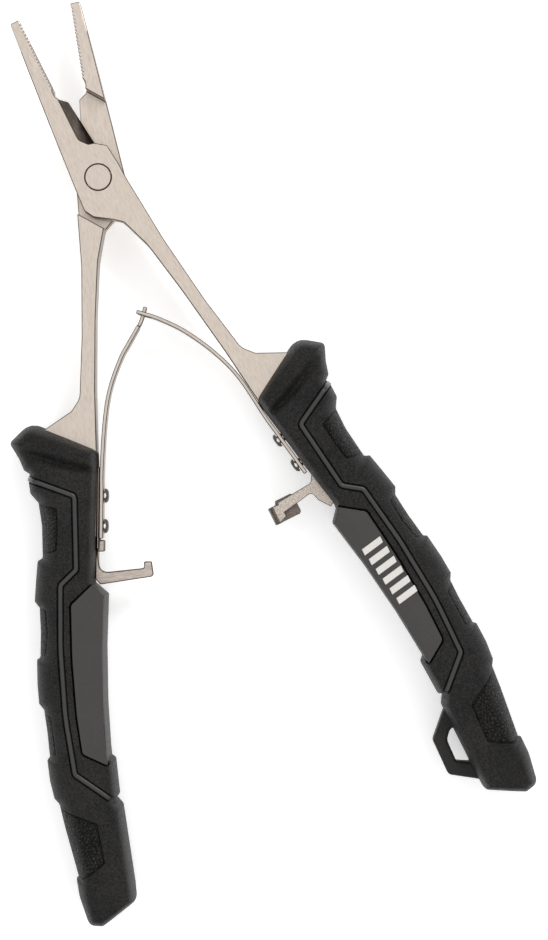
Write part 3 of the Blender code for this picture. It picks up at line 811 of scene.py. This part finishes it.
def make_screws(side):
    place = f"{side}_handle"
    for label, run in zip(("upper", "lower"), SCREW_RUNS):
        seat = SEAT[side] + LEAF + 0.2
        dome = [
            (SCREW_HEAD_R * math.cos(a) ** 0.55, seat + 0.12 + 0.85 * math.sin(a))
            for a in np.linspace(0.0, 1.45, 9)
        ]
        shape = lathe([(SCREW_R, -SCREW_REACH), (SCREW_R, seat), (SCREW_HEAD_R, seat)] + dome, 40)
        at = rail_point(run, 0.0)
        turn = Vector((0, 0, 1)).rotation_difference(Vector((RAIL_OUT.x, RAIL_OUT.y, 0)))
        move = Matrix.Translation((at.x, at.y, 0)) @ turn.to_matrix().to_4x4()
        bmesh.ops.transform(shape, matrix=move, verts=shape.verts)
        made = from_bmesh(f"{side}_screw_{label}", shape, place, [SCREW_HEAD_PAINTED_SHADE])
        for way in range(2):
            bar = prism(RECESS_BAR, seat + 0.45, seat + 3)
            spin = Matrix.Rotation(way * math.pi / 2 + 0.5, 4, "Z")
            bmesh.ops.transform(bar, matrix=move @ spin, verts=bar.verts)
            combine(made, bar, place)
        made.data.shade_smooth()
        made.data.set_sharp_from_angle(angle=math.radians(40))
        made.data.materials.append(SCREW_PAINTED_HIGHLIGHT)
        # painted highlight on the faces that face up; the rest of the head keeps the painted shade
        for face in made.data.polygons:
            if face.normal.z > 0.93:
                face.material_index = 1
        keep(made, f"{side}_side", "screw_steel", f"{side}_spring_screw_{label}")


def make_hook():
    """Stamped bracket: a leg under the left spring and an arm that ends in an upturned nose."""
    leg_thick = SEAT["left"] - 2 * HOOK_GAP
    top = rail_point(1.0, HOOK_GAP + leg_thick)
    top_back = rail_point(1.0, HOOK_GAP)
    corner_in = rail_point(26.1, HOOK_GAP + leg_thick)
    heel_out = rail_point(27.6, HOOK_GAP - 0.45)
    outline = [(1.4, -94.9, 0.9), (1.4, -91.1, 0.2), (3.3, -91.1, 0.4), (3.3, -92.6, 0.7)]
    outline += [(corner_in.x, corner_in.y, 2.3)]
    outline += [(top.x, top.y), (top_back.x, top_back.y)]
    outline += [(heel_out.x, heel_out.y, 0.3), (heel_out.x - 1.0, -94.9, 0.5)]
    plate = prism(rounded(outline), -HOOK_PLATE / 2, HOOK_PLATE / 2)
    made = from_bmesh("left_hook_plate", plate, "left_handle", [HOOK_MATERIAL])
    middle = HOOK_GAP + leg_thick / 2
    leg = band([rail_point(1.0, middle), rail_point(20.4, middle)], leg_thick / 2)
    combine(made, prism(leg, -LEAF_WIDTH / 2, LEAF_WIDTH / 2), "left_handle", "UNION")
    stub = band([rail_point(18.3, HOOK_GAP + 0.9), rail_point(21.0, HOOK_GAP + 0.9)], 0.9)
    combine(made, prism(stub, -1.6, 1.6), "left_handle", "UNION")
    soften(made, 0.25)
    paint_shade_on_flanks(made)
    keep(made, "left_side", "spring_steel", "left_latch_hook")


def make_latch():
    """Cast arm with a gusset at the handle, ending in a strip that is bent down and back under itself."""
    low = HOOK_PLATE / 2 + LATCH_LIFT
    high = low + LATCH_PLATE
    plate = prism(rounded(LATCH_OUTLINE), low, high)
    made = from_bmesh("right_latch_plate", plate, "right_handle", [CAST_MATERIAL])
    bend = bmesh.new()
    turns = [(BEND_AT - math.sin(a), math.cos(a)) for a in np.linspace(0, math.pi, 15)]
    path = [(4.0, 1.0)] + turns + [(7.1, -1.0), (7.6, -1.0)]
    rings = []
    for i, (along, up) in enumerate(path):
        is_end = along > BEND_AT
        turn_x = along if is_end else BEND_AT + (along - BEND_AT) * (high + 0.3)
        inner_x = along if is_end else BEND_AT + (along - BEND_AT) * low
        share = min(i / 4, 1.0)
        top = -86.8 if up == -1.0 else -87.9 + 0.2 * share
        foot = -91.2 - 0.9 * share
        if along > 7.2:
            top, foot = top - 0.5, foot + 0.5
        corners = [(turn_x, top, up * high), (inner_x, top, up * low)]
        corners += [(inner_x, foot, up * low), (turn_x, foot, up * high)]
        rings.append([bend.verts.new(c) for c in corners])
    skin(bend, rings)
    combine(made, bend, "right_handle", "UNION")
    soften(made, 0.16, 2, angle=50)
    paint_shade_on_flanks(made)
    made.data.materials.append(BEND_PAINTED_SHADE)
    # painted shade on the bend and on the tab that lies under the arm
    for face in made.data.polygons:
        local = PLACE["right_handle"].inverted() @ face.center
        if local.z < 0.0 or local.x < BEND_AT - 1.0:
            face.material_index = 3
    keep(made, "latch", "spring_steel", "right_latch")


# ---------------------------------------------------------------- handles
def crossings(points, y):
    """Leftmost and rightmost place where an outline meets a height."""
    found = []
    for a, b in zip(points, points[1:] + points[:1]):
        if (a.y > y) != (b.y > y):
            found.append(a.x + (y - a.y) * (b.x - a.x) / (b.y - a.y))
    return min(found), max(found)


def pillow(name, outline, height, size, place, materials, edges=(), mask=None):
    """Closed shape over an outline whose front and back stand height(x, y) above the middle plane.

    edges lists the lines that the relief follows, as (points, closed, offsets): the grid is drawn onto them.
    """
    rows, columns = size
    low, high = min(p.y for p in outline), max(p.y for p in outline)
    t = np.linspace(0, 1, rows)
    heights = low + 0.02 + (high - low - 0.04) * (0.85 * t + 0.15 * (0.5 - 0.5 * np.cos(math.pi * t)))
    spread = np.linspace(0, 1, columns)
    spread = 0.7 * spread + 0.3 * (0.5 - 0.5 * np.cos(math.pi * spread))
    x = np.zeros((rows, columns))
    y = np.repeat(heights[:, None], columns, axis=1)
    for i, level in enumerate(heights):
        left, right = crossings(outline, level)
        x[i] = left + (right - left) * spread
    reach = 0.45 * min((x[:, -1] - x[:, 0]).max() / columns, (high - low) / rows)
    for points, closed, offsets in edges:
        inner = (slice(1, -1), slice(1, -1))
        x[inner], y[inner] = snap(x[inner], y[inner], points, closed, offsets, reach)
    z = height(x, y)
    z[:, 0] = 0.0
    z[:, -1] = 0.0
    index = np.arange(rows * columns).reshape(rows, columns)
    under = index + rows * columns
    under[:, 0] = index[:, 0]
    under[:, -1] = index[:, -1]
    faces = [
        np.stack([index[:-1, :-1], index[:-1, 1:], index[1:, 1:], index[1:, :-1]], -1).reshape(-1, 4),
        np.stack([under[:-1, :-1], under[1:, :-1], under[1:, 1:], under[:-1, 1:]], -1).reshape(-1, 4),
        np.stack([index[0, :-1], under[0, :-1], under[0, 1:], index[0, 1:]], -1),
        np.stack([index[-1, :-1], index[-1, 1:], under[-1, 1:], under[-1, :-1]], -1),
    ]
    vertices = np.concatenate([np.stack([x, y, way * z], -1).reshape(-1, 3) for way in (1, -1)])
    mesh = bpy.data.meshes.new(name)
    mesh.from_pydata(vertices.tolist(), [], [list(dict.fromkeys(f)) for f in np.concatenate(faces).tolist()])
    if mask is not None:
        values = np.tile(mask(x, y).reshape(-1), 2).astype(np.float32)
        mesh.attributes.new("pad", "FLOAT", "POINT").data.foreach_set("value", values)
    shape = bmesh.new()
    shape.from_mesh(mesh)
    bmesh.ops.delete(shape, geom=[v for v in shape.verts if not v.link_faces], context="VERTS")
    bmesh.ops.recalc_face_normals(shape, faces=shape.faces)
    shape.to_mesh(mesh)
    shape.free()
    made = new_object(name, mesh, place, materials)
    mesh.shade_smooth()
    mesh.set_sharp_from_angle(angle=math.radians(38))
    return made


GRIP_POINTS = rounded(GRIP_OUTER, 6)
INLAY_POINTS = rounded(INLAY, 8)
RIB_POINTS = rounded(RIB_LINE, 8, closed=False)
PAD_POINTS = [rounded(p, 5) for p in PADS]
VALLEY_POINTS = smooth([Vector(p) for p in VALLEY], 6)
GRIP_EDGES = [(RIB_POINTS, False, (RIB_GROOVE,)), (INLAY_POINTS, True, (-0.22,))]
GRIP_EDGES += [(points, True, (0.0, PAD_FALL)) for points in PAD_POINTS]


def shoulder(into, radius, height):
    """Height of a rounded edge this far in from the outline."""
    t = np.clip(into / radius, 0, 1)
    return height * np.sqrt(np.clip(1 - (1 - t) ** 2.4, 0, 1))


def pad_mask(x, y):
    mask = np.zeros(x.shape)
    for points in PAD_POINTS:
        mask = np.maximum(mask, step(distance(x, y, points, True), 0.1, 0.5))
    return mask


def grip_surface(x, y):
    """The grip's face without its grooves and pads: rounded edges, collar, butt and valley."""
    into = np.maximum(distance(x, y, GRIP_POINTS, True), 0)
    across = (x - (11 + (-65 - y) * 0.07)) / 15.0
    radius = 1.9 + (1.2 + 2.0 * step(-y, 68.0, 74.0)) * step(across, 0.3, 0.9)
    z = shoulder(into, radius, GRIP_HALF - 0.75)
    full = step(into, 0.0, 2.2)
    below_collar = -67.9 + 0.46 * (x - 12.0) - y
    z += 0.75 * step(-below_collar, -0.3, 1.6) * full
    valley = distance(x, y, VALLEY_POINTS, False)
    z -= 1.3 * np.exp(-((valley / 0.8) ** 2)) * full * (1 - 0.7 * step(x, 19.0, 27.0))
    z += 0.3 * step(-162.4 - y + 0.3 * (x - 27.5), -0.1, 0.2) * step(x, 20.0, 27.0) * full
    return z


def grip_height(x, y):
    z = grip_surface(x, y)
    for points in PAD_POINTS:
        d = distance(x, y, points, True)
        z -= PAD_DEPTH * step(d, 0.02, PAD_FALL) + 0.22 * np.exp(-(((d - PAD_FALL - 0.08) / 0.16) ** 2))
    rib = distance(x, y, RIB_POINTS, False)
    z = np.where(rib < RIB_GROOVE - 0.02, z - 1.0, z)
    inlay = distance(x, y, INLAY_POINTS, True)
    z = np.where(inlay > -0.2, np.minimum(z, 5.4), z)
    return np.maximum(z, 0.02)


def inlay_height(x, y):
    into = np.maximum(distance(x, y, INLAY_POINTS, True), 0)
    body = shoulder(into, 0.4, INLAY_HALF - 0.7)
    beside = np.maximum(step(x - (13.0 + (-98 - y) * 0.13), 0.0, 4.0), step(-y, 133.5, 135.5))
    seam = shoulder(into, 0.25, INLAY_HALF - 0.7)
    crown = 0.3 * step(into, 0.0, 4.0)
    return np.maximum(body * (1 - beside) + seam * beside + crown, 0.02)


def make_rib(side, face):
    """Grey rib that lies in the grip's groove and follows its surface."""
    line = rounded(RIB_LINE, 10, closed=False)
    dense = []
    for a, b in zip(line, line[1:]):
        parts = max(1, int((b - a).length / 0.5))
        dense += [a.lerp(b, k / parts) for k in range(parts)]
    line = dense[1:-1]
    xs = np.array([p.x for p in line])
    ys = np.array([p.y for p in line])
    top = grip_surface(xs, ys) - 0.08
    way = 1.0 if face == "front" else -1.0
    section = [(-RIB_HALF, -1.1), (-RIB_HALF, -0.2), (-0.38, -0.03), (0.0, 0.05)]
    section += [(0.38, -0.03), (RIB_HALF, -0.2), (RIB_HALF, -1.1)]
    shape = bmesh.new()
    rows = []
    for i, at in enumerate(line):
        along = (line[min(i + 1, len(line) - 1)] - line[max(i - 1, 0)]).normalized()
        out = Vector((-along.y, along.x))
        ring = []
        for across, rise in section:
            point = at + out * across
            ring.append(shape.verts.new((point.x, point.y, way * max(top[i] + rise, 0.3))))
        rows.append(ring)
    skin(shape, rows)
    made = from_bmesh(f"{side}_rib_strip_{face}", shape, f"{side}_handle", [RIB_PLASTIC])
    made.data.shade_smooth()
    made.data.set_sharp_from_angle(angle=math.radians(60))
    return keep(made, f"{side}_side", "rib_nylon", f"{side}_rib_{face}")


def make_handle(side):
    place = f"{side}_handle"
    name = f"{side}_grip_rubber"
    grip = pillow(name, GRIP_POINTS, grip_height, GRIP_GRID, place, [RUBBER], GRIP_EDGES, pad_mask)
    keep(grip, f"{side}_side", "soft_grip", f"{side}_grip")
    inlay = pillow(f"{side}_inlay_shell", INLAY_POINTS, inlay_height, INLAY_GRID, place, [INLAY_PLASTIC])
    # painted shade: the inlay's side faces take the black nylon
    inlay.data.materials.append(NYLON_AND_INLAY_SHADE)
    for face in inlay.data.polygons:
        if abs(face.normal.z) < 0.6:
            face.material_index = 1
    keep(inlay, f"{side}_side", "inlay_nylon", f"{side}_inlay")
    for face in ("front", "back"):
        make_rib(side, face)


def make_marks():
    """A row of plain slanted bars on the right inlay's front."""
    shape = bmesh.new()
    for k in range(MARK_COUNT):
        foot = -107.4 - k * MARK_PITCH
        left = 16.2 + k * MARK_SHIFT
        right = left + MARK_LENGTH
        bar = [(left, foot), (right, foot + MARK_SLANT)]
        bar += [(right, foot + MARK_SLANT + MARK_WIDTH), (left, foot + MARK_WIDTH)]
        add_prism(shape, bar, INLAY_HALF - 1.0, INLAY_HALF - 0.25)
    made = from_bmesh("right_inlay_marks", shape, "right_handle", [MARK_PAINT])
    soften(made, 0.12)
    keep(made, "right_side", "inlay_nylon")


def make_loop():
    plate = prism(rounded(LOOP_OUTLINE), -LOOP_HALF, LOOP_HALF)
    made = from_bmesh("lanyard_loop_moulded", plate, "right_handle", [NYLON_AND_INLAY_SHADE])
    combine(made, prism(rounded(LOOP_HOLE), -2 * LOOP_HALF, 2 * LOOP_HALF), "right_handle")
    soften(made, 0.7, 4)
    keep(made, "right_side", "core_nylon", "lanyard_loop")


# ---------------------------------------------------------------- camera, light and floor
PHOTO_TURN = math.radians(18.015)
CAMERA_AT = (18.04, -78.28)
CAMERA_DISTANCE = 480.0
FRAME_HEIGHT = 220.9


def set_camera():
    data = bpy.data.cameras.new("camera")
    data.sensor_width = 36.0
    data.lens = 36.0 * CAMERA_DISTANCE / FRAME_HEIGHT
    data.clip_start = 0.01
    data.clip_end = 10.0
    made = bpy.data.objects.new("camera", data)
    bpy.context.scene.collection.objects.link(made)
    made.location = (CAMERA_AT[0] * MM, CAMERA_AT[1] * MM, CAMERA_DISTANCE * MM)
    made.rotation_euler = (0, 0, -PHOTO_TURN)
    bpy.context.scene.camera = made


def area_light(name, place, target, size, power):
    data = bpy.data.lights.new(name, "AREA")
    data.shape = "RECTANGLE"
    data.size = size[0]
    data.size_y = size[1]
    data.energy = power
    made = bpy.data.objects.new(name, data)
    bpy.context.scene.collection.objects.link(made)
    made.location = place
    made.rotation_euler = (Vector(target) - Vector(place)).to_track_quat("-Z", "Y").to_euler()


def set_stage():
    world = bpy.data.worlds.new("studio")
    bpy.context.scene.world = world
    world.use_nodes = True
    tree = world.node_tree
    background = tree.nodes["Background"]
    background.inputs["Color"].default_value = (1, 1, 1, 1)
    coords = tree.nodes.new("ShaderNodeTexCoord")
    split = tree.nodes.new("ShaderNodeSeparateXYZ")
    tree.links.new(coords.outputs["Generated"], split.inputs["Vector"])
    glow = ramp(tree, split.outputs["Z"], 0.15, 0.55, 0.25, 1.08)
    tree.links.new(glow, background.inputs["Strength"])
    area_light("key", (0.46, 0.34, 0.56), (0, -0.06, 0), (0.2, 0.2), 1.8)
    shape = bmesh.new()
    bmesh.ops.create_grid(shape, x_segments=2, y_segments=2, size=2.0)
    mesh = bpy.data.meshes.new("floor")
    shape.to_mesh(mesh)
    shape.free()
    floor = bpy.data.objects.new("floor", mesh)
    bpy.context.scene.collection.objects.link(floor)
    floor.location = (0, 0, cad_box[0][2] - 0.0001)
    pale, _, shader = principled("pale_floor", (0.93, 0.93, 0.93), 0.9)
    shader.inputs["Emission Color"].default_value = (1, 1, 1, 1)
    shader.inputs["Emission Strength"].default_value = 0.36
    mesh.materials.append(pale)
    bpy.context.scene.view_settings.view_transform = "Standard"


set_camera()
set_stage()
for one_side in ("right", "left"):
    make_lever(one_side)
    make_leaf(one_side)
    make_screws(one_side)
    make_handle(one_side)
make_rivet()
make_hook()
make_latch()
make_loop()
make_marks()
for name, material in (("right_core", NYLON_AND_INLAY_SHADE), ("left_core", NYLON_AND_INLAY_SHADE), ("latch_pin", CAST_MATERIAL)):
    for slot in bpy.data.objects[name].material_slots:
        slot.material = material
